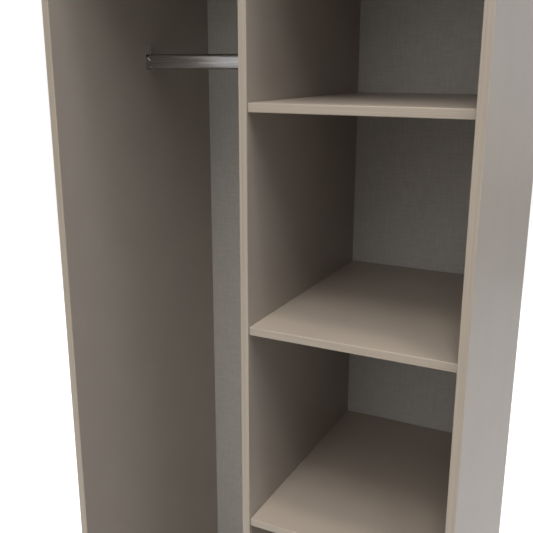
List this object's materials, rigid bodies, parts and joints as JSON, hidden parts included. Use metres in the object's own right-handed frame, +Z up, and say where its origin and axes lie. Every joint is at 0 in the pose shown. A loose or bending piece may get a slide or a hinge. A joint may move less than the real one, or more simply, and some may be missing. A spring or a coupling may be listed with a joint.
{
  "type": "open wardrobe",
  "caption": "Tall open-fronted wardrobe carcass with a hanging space and lift-out rail on the left and a column of loose shelves on pins on the right.",
  "frame": {"origin": "on the floor, at the centre of the footprint", "axes": "+Z up, +Y from the open front to the back, +X to the right as seen from the front"},
  "size_m": [0.77, 0.53, 1.97],
  "materials": {
    "melamine_board": "satin",
    "abs_edging": "satin",
    "linen_hardboard": "matte",
    "chromed_steel": "polished",
    "zinc_plated_steel": "satin",
    "moulded_plastic": "matte",
    "glide_plastic": "matte",
    "beech": "raw"
  },
  "bodies": {
    "carcass": {"side_panel_left": "melamine_board", "side_panel_right": "melamine_board", "top_panel": "melamine_board", "base_panel": "melamine_board", "centre_divider": "melamine_board", "plinth_front": "melamine_board", "plinth_rear": "melamine_board", "plinth_corner_blocks": "beech", "side_front_edging_left": "abs_edging", "side_front_edging_right": "abs_edging", "top_front_edging": "abs_edging", "top_end_edgings": "abs_edging", "base_front_edging": "abs_edging", "divider_front_edging": "abs_edging", "back_panel_left": "linen_hardboard", "back_panel_right": "linen_hardboard", "back_panel_nails": "zinc_plated_steel", "cam_locks": "zinc_plated_steel", "cam_bolts": "zinc_plated_steel", "cam_cover_caps": "moulded_plastic", "wood_dowels": "beech", "divider_base_screws": "zinc_plated_steel", "floor_glides": "glide_plastic", "wall_fixing_angles": "zinc_plated_steel", "wall_fixing_angle_screws": "zinc_plated_steel", "rail_bracket_left": "chromed_steel", "rail_bracket_right": "chromed_steel", "rail_bracket_screws": "zinc_plated_steel", "shelf_pins": "zinc_plated_steel"},
    "hanging_rail": {"hanging_rail": "chromed_steel"},
    "shelf_1": {"shelf_1": "melamine_board", "shelf_front_edging_1": "abs_edging"},
    "shelf_2": {"shelf_2": "melamine_board", "shelf_front_edging_2": "abs_edging"},
    "shelf_3": {"shelf_3": "melamine_board", "shelf_front_edging_3": "abs_edging"},
    "shelf_4": {"shelf_4": "melamine_board", "shelf_front_edging_4": "abs_edging"}
  },
  "joints": [
    {"name": "hanging_rail_lift", "type": "slide", "parent": "carcass", "child": "hanging_rail", "axis": [0, 0, 1], "range_m": [0, 0.06]},
    {"name": "shelf_1_draw_out", "type": "slide", "parent": "carcass", "child": "shelf_1", "axis": [0, -1, 0], "range_m": [0, 0.53]},
    {"name": "shelf_2_draw_out", "type": "slide", "parent": "carcass", "child": "shelf_2", "axis": [0, -1, 0], "range_m": [0, 0.53]},
    {"name": "shelf_3_draw_out", "type": "slide", "parent": "carcass", "child": "shelf_3", "axis": [0, -1, 0], "range_m": [0, 0.53]},
    {"name": "shelf_4_draw_out", "type": "slide", "parent": "carcass", "child": "shelf_4", "axis": [0, -1, 0], "range_m": [0, 0.53]}
  ]
}
